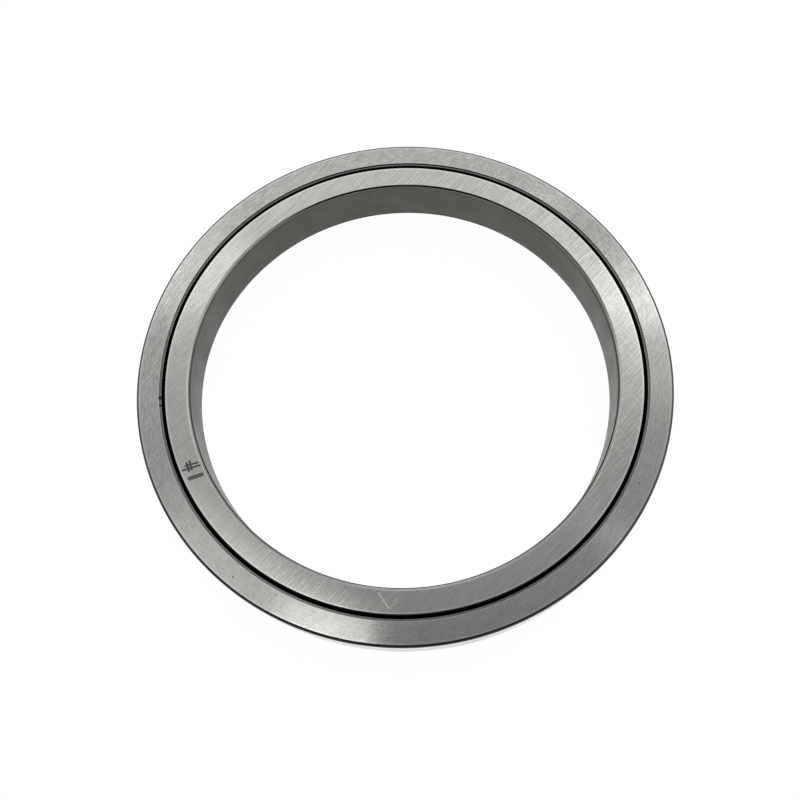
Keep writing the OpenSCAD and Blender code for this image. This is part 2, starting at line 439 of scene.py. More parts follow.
def round_copies():
    """Copies a shape round the Z axis at equal steps."""
    inputs = {"Shape": GEOMETRY, "Count": 3, "First angle": 0.0, "Material": MATERIAL}
    build, given, out = node_group("GeometryNodeTree", inputs, {"Copies": GEOMETRY})
    points = build.add("GeometryNodePoints", {"Count": given["Count"]}).outputs[0]
    index = build.add("GeometryNodeInputIndex").outputs[0]
    step = build.math("DIVIDE", FULL_TURN, given["Count"])
    turn = build.join(0.0, 0.0, build.math("MULTIPLY_ADD", index, step, given["First angle"]))
    rotation = build.add("FunctionNodeEulerToRotation", {0: turn}).outputs[0]
    placing = {"Points": points, "Instance": given["Shape"], "Rotation": rotation}
    placed = build.add("GeometryNodeInstanceOnPoints", placing).outputs[0]
    realized = build.add("GeometryNodeRealizeInstances", {"Geometry": placed}).outputs[0]
    finished = build.add("GeometryNodeSetMaterial", {"Geometry": realized, "Material": given["Material"]})
    return build.close(out, copies=finished.outputs[0])


# Mesh helpers

def new_object(name, data):
    made = bpy.data.objects.new(name, data)
    bpy.context.collection.objects.link(made)
    return made


def mesh_of(work, name):
    """A mesh made of a finished bmesh, which goes."""
    mesh = bpy.data.meshes.new(name)
    work.to_mesh(mesh)
    work.free()
    return mesh


def applied(mesh, kind, inputs=None, **settings):
    """A plain copy of a mesh with one modifier applied; the mesh itself goes."""
    holder = new_object("holder", mesh)
    modifier = holder.modifiers.new(spoken(kind), kind)
    for setting, value in settings.items():
        setattr(modifier, setting, value)
    for identifier, value in (inputs or {}).items():
        modifier[identifier] = value
    depsgraph = bpy.context.evaluated_depsgraph_get()
    made = bpy.data.meshes.new_from_object(holder.evaluated_get(depsgraph))
    bpy.data.objects.remove(holder)
    bpy.data.meshes.remove(mesh)
    return made


def tree_mesh(mesh, maker, **inputs):
    """The plain mesh that a geometry node tree makes of a mesh, which goes."""
    tree = tree_once(maker)
    named = {spoken(name): value for name, value in inputs.items()}
    sockets = [item for item in tree.interface.items_tree if item.in_out == "INPUT" and item.name in named]
    return applied(mesh, "NODES", {item.identifier: named[item.name] for item in sockets}, node_group=tree)


def combine(mesh, other, operation):
    """Boolean of two meshes with the same material slots; both go."""
    tool = new_object("tool", other)
    made = applied(mesh, "BOOLEAN", operation=operation, object=tool, solver="EXACT")
    bpy.data.objects.remove(tool)
    bpy.data.meshes.remove(other)
    if not made.polygons:
        raise RuntimeError("a cut left nothing of a piece")
    return made


def cut(mesh, tool, materials, slot):
    """Cuts a tool out of a ring; the cut's faces get one of the ring's material slots."""
    tool.materials.clear()
    for material in materials:
        tool.materials.append(material)
    tool.polygons.foreach_set("material_index", [slot] * len(tool.polygons))
    return combine(mesh, tool, "DIFFERENCE")


def rounded(mesh, width):
    """A mesh with its sharp edges rounded."""
    return applied(
        mesh, "BEVEL", width=width, segments=BEVEL_STEPS, limit_method="ANGLE", angle_limit=BEVEL_ANGLE
    )


def rounded_outline(corners, rounding):
    """A closed outline (r, z, zone) with rounded corners and a support point on both sides of each round."""
    points = []
    for place, corner in enumerate(corners):
        before, after = corners[place - 1], corners[(place + 1) % len(corners)]
        here = Vector(corner[:2])
        back, ahead = Vector(before[:2]) - here, Vector(after[:2]) - here
        reach = min(rounding, CORNER_SHARE * back.length, CORNER_SHARE * ahead.length)
        back.normalize()
        ahead.normalize()
        start, end = here + back * reach, here + ahead * reach
        arc_zone = min(before[2], corner[2])
        points.append((*(start + back * reach * SUPPORT_SHARE), before[2]))
        for step in range(CORNER_STEPS + 1):
            part = step / CORNER_STEPS
            bent = start * (1 - part) ** 2 + here * 2 * part * (1 - part) + end * part ** 2
            points.append((*bent, arc_zone if step < CORNER_STEPS else corner[2]))
        points.append((*(end + ahead * reach * SUPPORT_SHARE), corner[2]))
    return points


def mirrored(points):
    """A section upside down; each point again holds the zone of the stretch that it starts."""
    turned = [(r, WIDTH - z, zone) for r, z, zone in reversed(points)]
    zones = [zone for _, _, zone in turned[1:] + turned[:1]]
    return [(r, z, zone) for (r, z, _), zone in zip(turned, zones)]


def outline_mesh(points):
    """Vertices of a section in the XZ plane, with the zone of the stretch that each one starts."""
    mesh = bpy.data.meshes.new("outline")
    mesh.from_pydata([(r, 0, z) for r, z, _ in points], [], [])
    zones = mesh.attributes.new("zone", "INT", "POINT")
    zones.data.foreach_set("value", [zone for _, _, zone in points])
    return mesh


def lathe(points, segments, materials, closed=True):
    """A section turned round Z: a plain mesh with a slot for each finish zone."""
    face, edge, seat, raceway, lead = materials[:MARK]
    mesh = tree_mesh(
        outline_mesh(points), lathe_tree, segments=segments, outline_points=len(points),
        closing_rows=1 if closed else 0, face_material=face, edge_material=edge, seat_material=seat,
        raceway_material=raceway, lead_material=lead,
    )
    order_slots(mesh, materials)
    face_outwards(mesh)
    return mesh


def order_slots(mesh, materials):
    """Puts a mesh's material slots in the order of the list."""
    order = [materials.index(material) if material in materials else 0 for material in mesh.materials]
    indices = [order[polygon.material_index] for polygon in mesh.polygons]
    mesh.materials.clear()
    for material in materials:
        mesh.materials.append(material)
    mesh.polygons.foreach_set("material_index", indices)


def face_outwards(mesh):
    """Merges doubles and turns every face outwards."""
    work = bmesh.new()
    work.from_mesh(mesh)
    bmesh.ops.remove_doubles(work, verts=work.verts, dist=MERGE)
    bmesh.ops.recalc_face_normals(work, faces=work.faces)
    work.to_mesh(mesh)
    work.free()


def polar(radius_mm, degrees, z=0.0):
    angle = math.radians(degrees)
    return Vector((radius_mm * MM * math.cos(angle), radius_mm * MM * math.sin(angle), z))


def prism(outline, low, high):
    """A closed prism on an outline in the XY plane."""
    work = bmesh.new()
    bottom = [work.verts.new((x, y, low)) for x, y in outline]
    top = [work.verts.new((x, y, high)) for x, y in outline]
    work.faces.new(list(reversed(bottom)))
    work.faces.new(top)
    count = len(outline)
    for place in range(count):
        following = (place + 1) % count
        work.faces.new((bottom[place], bottom[following], top[following], top[place]))
    bmesh.ops.recalc_face_normals(work, faces=work.faces)
    return mesh_of(work, "prism")


def radial_prism(outline, from_r, to_r):
    """A prism on an outline in the plane across a radius, which runs outwards along X at the split."""
    mesh = prism(outline, from_r, to_r)
    mesh.transform(Matrix(((0, 0, 1, 0), (0, 1, 0, 0), (-1, 0, 0, SPLIT_Z), (0, 0, 0, 1))))
    face_outwards(mesh)
    return mesh


def stadium(start, end, width, steps=END_STEPS):
    """Outline of a straight stroke with round ends."""
    along = (end - start).normalized()
    across = Vector((-along.y, along.x))
    outline = []
    for centre, turn in ((end, -1), (start, 1)):
        for step in range(steps + 1):
            angle = math.pi * step / steps
            spot = centre + (across * math.cos(angle) - along * math.sin(angle)) * turn * width / 2
            outline.append((spot.x, spot.y))
    return outline


def bar_outline(radius, along):
    """Outline of a round bar, its centre moved along the bore."""
    turn = FULL_TURN / BAR_STEPS
    return [(along + radius * math.cos(k * turn), radius * math.sin(k * turn)) for k in range(BAR_STEPS)]


def stroke_tool(start_r, start_angle, end_r, end_angle, width, depth):
    """Cutter for one scribed stroke in the upper face."""
    start, end = polar(start_r, start_angle).to_2d(), polar(end_r, end_angle).to_2d()
    return prism(stadium(start, end, width * MM), WIDTH - depth, WIDTH + depth)


def ball_tool(place, radius):
    """Cutter for a pit or a nick."""
    work = bmesh.new()
    bmesh.ops.create_icosphere(work, subdivisions=3, radius=radius, matrix=Matrix.Translation(place))
    return mesh_of(work, "ball")


def finish_piece(name, mesh, body, nodes):
    """Shades a mesh, makes it a piece of the bearing on its body and hides the solids it stands for."""
    mesh.name = name
    mesh.polygons.foreach_set("use_smooth", [True] * len(mesh.polygons))
    mesh.set_sharp_from_angle(angle=SHARP_ANGLE)
    piece = new_object(name, mesh)
    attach(piece, body)
    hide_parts(*nodes)


# Shader groups, which measure in millimetres

def ring_place():
    """A point's place, and its radius, height and direction round the bearing's axis."""
    outputs = {"Radius": FLOAT, "Height": FLOAT, "Sweep": VECTOR, "Place": VECTOR}
    build, _, out = node_group("ShaderNodeTree", {}, outputs)
    place = build.scaled(build.add("ShaderNodeTexCoord").outputs["Object"], 1 / MM)
    flat = build.vector("MULTIPLY", place, (1, 1, 0))
    radius = build.vector("LENGTH", flat, output="Value")
    sweep = build.vector("NORMALIZE", flat)
    return build.close(out, radius=radius, height=build.split(place)["Z"], sweep=sweep, place=place)


def grinding_lines():
    """Straight fine lines that a grinding wheel leaves across a face: how many in a millimetre, how long."""
    inputs = {"Direction": 0.7, "Lines": 1.6, "Length": 8.0, "Seed": 0.0}
    build, given, out = node_group("ShaderNodeTree", inputs, {"Lines": FLOAT})
    place = build.shared(ring_place)["Place"]
    turning = {"Vector": place, "Angle": build.math("MULTIPLY", given["Direction"], -1.0)}
    laid = build.split(build.add("ShaderNodeVectorRotate", turning, rotation_type="Z_AXIS").outputs[0])
    along = build.math("DIVIDE", laid["X"], given["Length"])
    across = build.math("MULTIPLY", laid["Y"], given["Lines"])
    return build.close(out, lines=build.noise(build.join(along, across, given["Seed"]), detail=2.0))


def lit_lay_strength():
    """How strongly the grinding lines show: weak in front, full at the back, where the faces catch the light,
    which is painted light; lean moves it sideways.
    """
    inputs = {"Weakest": 0.4, "Lean": 0.5}
    build, given, out = node_group("ShaderNodeTree", inputs, {"Strength": FLOAT})
    place = build.split(build.shared(ring_place)["Place"])
    towards = build.math("MULTIPLY_ADD", place["X"], given["Lean"], place["Y"])
    return build.close(out, strength=build.ramp(towards, LAY_FRONT, LAY_BACK, given["Weakest"], 1.0))


def rim_highlight_masks():
    """Masks of a face's painted rim highlights, each from 0 to 1, just inside its two edge radii."""
    inputs = {"Inner edge": 71.0, "Outer edge": 78.0, "Width": 0.5}
    build, given, out = node_group("ShaderNodeTree", inputs, {"Inner rim": FLOAT, "Outer rim": FLOAT})
    radius = build.shared(ring_place)["Radius"]
    inner, outer = (
        build.ramp(build.math("SUBTRACT", first, second), 0.0, given["Width"], 1.0, 0.0)
        for first, second in ((radius, given["Inner edge"]), (given["Outer edge"], radius))
    )
    return build.close(out, inner_rim=inner, outer_rim=outer)


def turned_lay():
    """Fine lines that run round the ring: across is the direction in which they lie side by side."""
    inputs = {"Across": 0.0, "Pitch": 3.0, "Streak": 6.0, "Seed": 0.0}
    build, given, out = node_group("ShaderNodeTree", inputs, {"Lines": FLOAT})
    sweep = build.shared(ring_place)["Sweep"]
    along = build.math("MULTIPLY_ADD", given["Across"], given["Pitch"], given["Seed"])
    spot = build.vector("ADD", build.scaled(sweep, given["Streak"]), build.join(0.0, 0.0, along))
    return build.close(out, lines=build.noise(spot, roughness=0.65))


def single_scratch():
    """One straight scratch on a face, from start to end."""
    inputs = {"Start": (0, 0, 0), "End": (1, 0, 0), "Width": 0.15}
    build, given, out = node_group("ShaderNodeTree", inputs, {"Scratch": FLOAT})
    flat = build.vector("MULTIPLY", build.shared(ring_place)["Place"], (1, 1, 0))
    span = build.vector("SUBTRACT", given["End"], given["Start"])
    reach = build.vector("SUBTRACT", flat, given["Start"])
    dots = [build.vector("DOT_PRODUCT", first, span, output="Value") for first in (reach, span)]
    nearest = build.scaled(span, build.math("DIVIDE", *dots, clamp=True))
    off = build.vector("LENGTH", build.vector("SUBTRACT", reach, nearest), output="Value")
    return build.close(out, scratch=build.ramp(off, 0.0, given["Width"], 1.0, 0.0))


def handling_film():
    """Soft patches of oil and fingerprints, or a grain where they are small, from 0 to 1."""
    build, given, out = node_group("ShaderNodeTree", {"Size": 12.0, "Seed": 0.0}, {"Film": FLOAT})
    spot = build.vector("ADD", build.shared(ring_place)["Place"], build.join(0.0, given["Seed"], 0.0))
    field = build.noise(spot, build.math("DIVIDE", 1.0, given["Size"]))
    return build.close(out, film=build.ramp(field, 0.3, 0.7))


# Materials

class MaterialBuilder(NodeBuilder):
    """A builder for one material, which is a full metal unless told otherwise."""

    def __init__(self, name, metallic=1.0):
        self.material = bpy.data.materials.new(name)
        self.material.use_nodes = True
        super().__init__(self.material.node_tree)
        self.shader = self.tree.nodes["Principled BSDF"]
        self.shader.inputs["Metallic"].default_value = metallic

    def finish(self, base, roughness, height, relief, inputs=None):
        """Wires colour, roughness, a height with its relief in mm and any other inputs of the shader."""
        bump = self.add("ShaderNodeBump", {"Height": height, "Distance": relief * MM, "Strength": 1.0})
        wires = {"Base Color": base, "Roughness": roughness, "Normal": bump.outputs[0], **(inputs or {})}
        for socket, value in wires.items():
            self.feed(self.shader.inputs[socket], value)
        return self.material


def shade(colour, factor):
    return (*(min(1.0, part * factor) for part in colour), 1.0)


def ground_lines(build, degrees, lines, length, seed):
    """Grinding lines in one direction."""
    turn = math.radians(degrees)
    return build.shared(grinding_lines, direction=turn, lines=lines, length=length, seed=seed)["Lines"]


def burnished(build, base, edges, inner_share, amount, highlight_colour):
    """A face's colour with a painted highlight on the rim inside each of its two edge radii; the inner one is
    weaker.
    """
    rims = build.shared(rim_highlight_masks, inner_edge=edges[0] / MM, outer_edge=edges[1] / MM, width=RIM_WIDTH)
    rim = build.math("MULTIPLY_ADD", rims["Inner rim"], inner_share, rims["Outer rim"])
    return build.mix(build.math("MULTIPLY", rim, amount), base, highlight_colour)


def inner_face_steel(colour, rings):
    """Face of the inner ring: straight lines of a grinding wheel, fine scratches and a trace of handling."""
    build = MaterialBuilder("inner_face_steel")
    layers = [(ground_lines(build, *layer), weight) for *layer, weight in INNER_LAY]
    strokes = build.ramp(ground_lines(build, *DEEP_STROKES), 0.56, 0.72)
    strength = build.shared(lit_lay_strength, weakest=0.55, lean=0.55)["Strength"]
    lines = build.weigh(0.0, *layers, (strokes, 0.5, 0.1), clamp=False)
    lines = build.math("MULTIPLY", lines, strength)
    film = build.shared(handling_film, size=14.0, seed=5.0)["Film"]
    scratches = 0.0
    for start, end in FACE_SCRATCHES:
        mark = build.shared(single_scratch, start=(*start, 0), end=(*end, 0), width=SCRATCH_WIDTH)["Scratch"]
        scratches = build.math("MAXIMUM", scratches, mark)
    tone = build.weigh(0.45, (lines, 1.0, 0.0), (film, -0.1), (scratches, 0.55, 0.0))
    edges = BORE_R + rings.bore_ease + rings.bore_chamfer, INNER_LAND_R - rings.inner_land_chamfer
    # Painted highlights on the face's rims, where its edges catch the light
    base = burnished(build, build.tones(tone, colour, 0.76, 1.28), edges, 0.15, 0.8, shade(colour, 1.5))
    roughness = build.weigh(0.115, (lines, 0.05, 0.0), (film, 0.03), (scratches, 0.12, 0.0))
    height = build.weigh(0.5, (lines, 0.4, 0.0), (scratches, -0.2, 0.0))
    lay = math.radians(INNER_LAY[0][0])
    across = build.add(
        "ShaderNodeVectorTransform", {0: (-math.sin(lay), math.cos(lay), 0)}, vector_type="VECTOR",
        convert_from="OBJECT", convert_to="WORLD",
    )
    return build.finish(base, roughness, height, 0.02, {"Anisotropic": 0.6, "Tangent": across.outputs[0]})


def outer_face_steel(colour, rings):
    """Face of the outer ring: satin, turned round the axis, with a fine grain."""
    build = MaterialBuilder("outer_face_steel")
    radius = build.shared(ring_place)["Radius"]
    coarse = build.shared(turned_lay, across=radius, pitch=0.9, streak=12.0, seed=2.0)["Lines"]
    fine = build.shared(turned_lay, across=radius, pitch=2.8, streak=32.0, seed=31.0)["Lines"]
    crossing = ground_lines(build, *OUTER_CROSSING)
    film = build.shared(handling_film, size=9.0, seed=17.0)["Film"]
    grain = build.shared(handling_film, size=0.4, seed=44.0)["Film"]
    strength = build.shared(lit_lay_strength, weakest=0.5, lean=-0.1)["Strength"]
    lines = build.weigh(0.0, (coarse, 0.4), (fine, 2.2), (crossing, 1.5), (grain, 0.4), clamp=False)
    lines = build.math("MULTIPLY", lines, strength)
    tone = build.weigh(0.45, (lines, 1.0, 0.0), (film, -0.06))
    edges = OUTER_LAND_R + rings.ledge_width, OUTSIDE_R - rings.outside_round
    # Painted highlights on the face's rims, where its edges catch the light
    base = burnished(build, build.tones(tone, colour, 0.72, 1.3), edges, 0.4, 0.6, shade(colour, 1.4))
    roughness = build.weigh(0.13, (coarse, 0.03), (film, 0.015), (grain, 0.03))
    height = build.weigh(0.5, (lines, 0.25, 0.0))
    tangent = build.add("ShaderNodeTangent", direction_type="RADIAL", axis="Z").outputs[0]
    lay = {"Anisotropic": 0.9, "Anisotropic Rotation": 0.25, "Tangent": tangent}
    return build.finish(base, roughness, height, 0.01, lay)


def wall_steel(name, colour, roughness, pitch=2.5, edge_tint=1.0):
    """Bore, outside, edges and raceways: turned or ground round the axis under a thin film of oil."""
    build = MaterialBuilder(name)
    ring = build.shared(ring_place)
    across = build.math("ADD", ring["Height"], ring["Radius"])
    coarse = build.shared(turned_lay, across=across, pitch=pitch * 0.4, streak=3.0, seed=12.0)["Lines"]
    fine = build.shared(turned_lay, across=across, pitch=pitch, streak=9.0, seed=50.0)["Lines"]
    film = build.shared(handling_film, size=10.0, seed=29.0)["Film"]
    tone = build.weigh(0.5, (coarse, 0.7), (fine, 0.7), (film, -0.2))
    rough = build.weigh(roughness, (fine, 0.1), (film, 0.08))
    height = build.weigh(0.5, (coarse, 0.4), (fine, 0.5))
    # An edge tint below 1 dims the reflection at grazing angles: painted shade on the ledges, lead-ins, raceways
    # and dark outside edges
    grazing = {"Specular Tint": (edge_tint, edge_tint, edge_tint, 1)}
    return build.finish(build.tones(tone, colour, 0.72, 1.28), rough, height, 0.01, grazing)


def raceway_steel(colour):
    """Raceways and lands of both rings, near-black and dim at grazing angles as painted shade of the narrow gap.
    """
    return wall_steel("raceway_steel", colour, 0.3, pitch=5.0, edge_tint=0.2)


def etched_steel(colour):
    """Bottom of a scribed stroke, a pit or a nick; the broad stroke is worn along its middle."""
    build = MaterialBuilder("etched_steel", metallic=0.6)
    grain = build.noise(build.shared(ring_place)["Place"], 5.0, roughness=0.7)
    broad = SCRIBED_STROKES[0]
    start, end = (tuple(polar(*place) / MM) for place in (broad[:2], broad[2:4]))
    worn = build.shared(single_scratch, start=start, end=end, width=WORN_WIDTH)["Scratch"]
    tone = build.weigh(0.3, (grain, 1.0), (worn, 0.6, 0.0))
    return build.finish(build.tones(tone, colour, 0.6, 2.6), build.weigh(0.6, (grain, 0.3)), grain, 0.02)


def roller_lapped_steel(colour, grease):
    """Rollers: lapped steel, with their ends painted near-black and dull as the shade of the narrow gap between
    the rings.
    """
    build = MaterialBuilder("roller_lapped_steel")
    grain = build.noise(build.shared(ring_place)["Place"], 2.2)
    film = build.shared(handling_film, size=3.0, seed=60.0)["Film"]
    # Painted shade: the rollers' ends turn near-black, dull and non-metallic where the narrow gap shades them
    painted_end_shade = build.add("ShaderNodeAttribute", attribute_name="grease").outputs["Fac"]
    lapped = build.tones(build.weigh(0.5, (grain, 0.8), (film, -0.3)), colour, 0.85, 1.12)
    base = build.mix(painted_end_shade, lapped, shade(grease, 1.0))
    roughness = build.weigh(0.2, (grain, 0.1), (film, 0.05), (painted_end_shade, 0.3, 0.0))
    end_shade_inputs = {"Metallic": build.math("SUBTRACT", 1.0, painted_end_shade), "Specular IOR Level": 0.0}
    return build.finish(base, roughness, grain, 0.004, end_shade_inputs)


def clip_rolled_steel(colour):
    """Clips: blued spring strip with a rolled grain along the bore and bright rubbed spots."""
    build = MaterialBuilder("clip_rolled_steel")
    place = build.shared(ring_place)["Place"]
    drawn = build.add("ShaderNodeMapping", {"Vector": place, "Scale": (5.0, 5.0, 0.35)}).outputs[0]
    grain = build.noise(drawn)
    rubbed = build.ramp(build.noise(place, 0.7), 0.55, 0.7)
    tone = build.weigh(0.35, (grain, 0.8), (rubbed, 0.5, 0.0))
    roughness = build.weigh(0.34, (grain, 0.2), (rubbed, -0.08, 0.0))
    return build.finish(build.tones(tone, colour, 0.6, 2.0), roughness, grain, 0.01)


def spacer_moulded_plastic(colour):
    """Spacers: moulded plastic with fine mould grain and greased patches; the near-black colour is painted shade
    of the gap.
    """
    build = MaterialBuilder("spacer_moulded_plastic", metallic=0.0)
    place = build.shared(ring_place)["Place"]
    grain = build.noise(place, 4.0)
    grease = build.ramp(build.noise(place, 0.45, 2.0, 0.5), 0.5, 0.68)
    tone = build.weigh(0.55, (grain, 0.5), (grease, -0.35, 0.0))
    roughness = build.weigh(0.65, (grain, 0.15), (grease, -0.2, 0.0))
    # Painted shade: the near-black colour stands in for the shade deep in the gap
    base = build.tones(tone, colour, 0.75, 1.15)
    return build.finish(base, roughness, grain, 0.02, {"Specular IOR Level": 0.05})


def material_once(maker, *values):
    """A material that is named after its maker, made on first use."""
    return bpy.data.materials.get(maker.__name__) or maker(*values)


def inner_ring_materials(colours, rings):
    """The inner ring's material slots, in the order of the finish zones."""
    return [
        inner_face_steel(colours.inner_face, rings),
        wall_steel("bore_chamfer_steel", colours.bore_chamfer, 0.2),
        # Painted dark reflection in the bore's near-black colour
        wall_steel("bore_steel", colours.bore, 0.34, edge_tint=0.9),
        material_once(raceway_steel, colours.raceway),
        # Painted dark reflection in the lead-ins' near-black colour and dim grazing reflection
        wall_steel("bore_lead_steel", colours.bore_lead, 0.34, edge_tint=0.0),
        material_once(etched_steel, colours.etch),
    ]


def outer_ring_materials(colours, rings):
    """The outer ring's material slots, in the order of the finish zones."""
    return [
        outer_face_steel(colours.outer_face, rings),
        # Painted shade in the ledges' dark grey and dim grazing reflection
        wall_steel("ledge_steel", colours.ledge, 0.3, edge_tint=0.2),
        wall_steel("outside_steel", colours.outside, 0.16),
        material_once(raceway_steel, colours.raceway),
        # Painted dark reflection in the dark outside edges and their dim grazing reflection
        wall_steel("outside_edge_steel", colours.outside_round, 0.3, edge_tint=0.05),
        material_once(etched_steel, colours.etch),
    ]


# Sections of the rings

def vee(rings, roller_r):
    """Depth of the square raceway below the pitch circle and half the width of its mouth at a land."""
    depth = (roller_r + rings.roller_play) * math.sqrt(2)
    return depth, depth - (PITCH_R - INNER_LAND_R)


def quarter_round(flank_z, radius, upwards, zone):
    """Rounding from a flank to the outside, which lies above the flank (1) or below it (-1)."""
    turns = [math.pi / 2 * step / QUARTER_STEPS for step in range(QUARTER_STEPS + 1)]
    return [
        (OUTSIDE_R - radius * (1 - math.sin(turn)), flank_z + upwards * radius * (1 - math.cos(turn)), zone)
        for turn in turns
    ]


def inner_ring_outline(rings, roller_r):
    """Section of the inner ring, from the lower face round the raceway to the bore."""
    depth, mouth = vee(rings, roller_r)
    land, half_relief, brk = INNER_LAND_R, rings.relief_width / 2, rings.mouth_break
    relief_edge = PITCH_R - depth + half_relief
    eased_r = BORE_R + rings.bore_ease
    face_r = eased_r + rings.bore_chamfer
    lower = [
        (face_r, 0, FACE),
        (land - rings.inner_land_chamfer, 0, FACE),
        (land, rings.inner_land_chamfer, RACEWAY),
        (land, SPLIT_Z - mouth - brk, RACEWAY),
        (land - brk, SPLIT_Z - mouth + brk, RACEWAY),
        (relief_edge, SPLIT_Z - half_relief, RACEWAY),
        (relief_edge - rings.relief_depth, SPLIT_Z - half_relief, RACEWAY),
    ]
    zones_above = [RACEWAY] * 5 + [FACE, EDGE]
    upper = [(r, WIDTH - z, zone) for (r, z, _), zone in zip(reversed(lower), zones_above)]
    bore = [
        (eased_r, WIDTH - rings.bore_chamfer, LEAD),
        (BORE_R, WIDTH - rings.bore_lead, SEAT),
        (BORE_R, rings.bore_lead, LEAD),
        (eased_r, rings.bore_chamfer, EDGE),
    ]
    return rounded_outline(lower + upper + bore, rings.edge_round)


def outer_half_outline(rings, roller_r):
    """Section of the outer ring's lower half, from its ledge round the outside to the raceway."""
    depth, mouth = vee(rings, roller_r)
    land, half_relief, brk = OUTER_LAND_R, rings.relief_width / 2, rings.mouth_break
    relief_edge = PITCH_R + depth - half_relief
    relief_r = relief_edge + rings.relief_depth
    groove_r, groove_edge = OUTSIDE_R - rings.groove_depth, SPLIT_Z - rings.groove_width / 2
    edge = quarter_round(0, rings.outside_round, 1, LEAD)
    edge[-1] = (*edge[-1][:2], SEAT)
    corners = [
        (land + rings.ledge_width + rings.ledge_depth * LEDGE_LEAN, 0, FACE),
        *edge,
        *reversed(quarter_round(groove_edge, rings.groove_lip, -1, SEAT)),
        (groove_r, groove_edge, SEAT),
        (groove_r, SPLIT_Z, RACEWAY),
        (relief_r, SPLIT_Z, RACEWAY),
        (relief_r, SPLIT_Z - half_relief, RACEWAY),
        (relief_edge, SPLIT_Z - half_relief, RACEWAY),
        (land + brk, SPLIT_Z - mouth + brk, RACEWAY),
        (land, SPLIT_Z - mouth - brk, RACEWAY),
        (land, rings.ledge_depth, EDGE),
        (land + rings.ledge_width, rings.ledge_depth, EDGE),
    ]
    return rounded_outline(corners, rings.edge_round)


# Clips and their seats

def seat_radius(clips):
    """Radius of the flat that a clip's plate lies on."""
    return OUTSIDE_R - clips.setback - clips.thickness


def plate_outline(clips, play=0.0):
    """Outline of a clip's plate with round ends, wider all round by the play."""
    straight = Vector(((clips.length - clips.width) / 2, 0))
    return stadium(-straight, straight, clips.width + 2 * play, steps=2 * END_STEPS)


def leg_bars(clips, play, end_play):
    """Both legs of a clip, thicker and longer by their plays; they run halfway into the plate."""
    seat_r = seat_radius(clips)
    for side in (-1, 1):
        outline = bar_outline(clips.leg_diameter / 2 + play, side * clips.leg_pitch / 2)
        yield radial_prism(outline, seat_r - clips.leg_length - end_play, seat_r + clips.thickness / 2)


def clip_seat_tool(clips):
    """Cutter for one clip's seat: a pocket in the outside with two holes for the legs."""
    seat_r = seat_radius(clips)
    tool = radial_prism(plate_outline(clips, clips.plate_play), seat_r, OUTSIDE_R + clips.thickness)
    for leg in leg_bars(clips, clips.leg_play, clips.plate_play):
        tool = combine(tool, leg, "UNION")
    return tool


def clip_mesh(clips):
    """One clip: a plate with round ends and rounded edges, and two legs that point to the axis."""
    seat_r = seat_radius(clips)
    plate = rounded(radial_prism(plate_outline(clips), seat_r, seat_r + clips.thickness), clips.edge_round)
    for leg in leg_bars(clips, 0.0, 0.0):
        plate = combine(plate, rounded(leg, clips.edge_round), "UNION")
    return plate


def angle_of(node):
    """Angle of a node's middle round the axis."""
    low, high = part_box(node)
    middle = (low + high) / 2
    return math.atan2(middle.y, middle.x)


class BEARING_OT_inner_ring(bpy.types.Operator):
    """Turn the inner ring and scribe the strokes on its face"""

    bl_idname = "bearing.inner_ring"
    bl_label = "Inner ring"

    def execute(self, context):
        bearing = context.scene.bearing
        materials = inner_ring_materials(bearing.colours, bearing.rings)
        outline = inner_ring_outline(bearing.rings, bearing.rollers.diameter / 2)
        mesh = lathe(outline, bearing.rings.segments, materials)
        for stroke in SCRIBED_STROKES:
            mesh = cut(mesh, stroke_tool(*stroke, bearing.marks.stroke_depth), materials, MARK)
        finish_piece("inner_ring_ground", mesh, "inner_ring", ["inner_ring"])
        return {"FINISHED"}


class BEARING_OT_outer_ring(bpy.types.Operator):
    """Turn both halves of the outer ring and cut the clip seats, the oil holes and the wear"""

    bl_idname = "bearing.outer_ring"
    bl_label = "Outer ring"

    def execute(self, context):
        bearing = context.scene.bearing
        materials = outer_ring_materials(bearing.colours, bearing.rings)
        lower = outer_half_outline(bearing.rings, bearing.rollers.diameter / 2)
        for name, outline in (("outer_ring_lower", lower), ("outer_ring_upper", mirrored(lower))):
            mesh = lathe(outline, bearing.rings.segments, materials)
            mesh = self.cut_seats(mesh, bearing, materials)
            if name == "outer_ring_upper":
                mesh = self.wear(mesh, bearing.marks, materials)
            finish_piece(name + "_turned", mesh, "outer_ring", [name])
        return {"FINISHED"}

    def cut_seats(self, mesh, bearing, materials):
        """Cuts the clip seats and, midway between them, the oil holes."""
        hole = radial_prism(bar_outline(bearing.rings.oil_hole_diameter / 2, 0.0), PITCH_R, OUTSIDE_R + MM)
        first = angle_of(CLIPS[0])
        for tool, angle in ((clip_seat_tool(bearing.clips), first), (hole, first + math.pi / len(CLIPS))):
            tools = tree_mesh(
                tool, round_copies, count=len(CLIPS), first_angle=angle, material=materials[SEAT]
            )
            mesh = cut(mesh, tools, materials, SEAT)
        return mesh

    def wear(self, mesh, marks, materials):
        """Cuts the pits in the face and the nicks in the ledge."""
        for radius, degrees, diameter in FACE_PITS:
            ball = (diameter * MM / 2) ** 2 / (2 * marks.pit_depth) + marks.pit_depth / 2
            place = polar(radius, degrees, WIDTH - marks.pit_depth + ball)
            mesh = cut(mesh, ball_tool(place, ball), materials, MARK)
        for radius, degrees, diameter in LEDGE_NICKS:
            place = polar(radius, degrees, WIDTH - diameter * MM / 4)
            mesh = cut(mesh, ball_tool(place, diameter * MM / 2), materials, MARK)
        return mesh


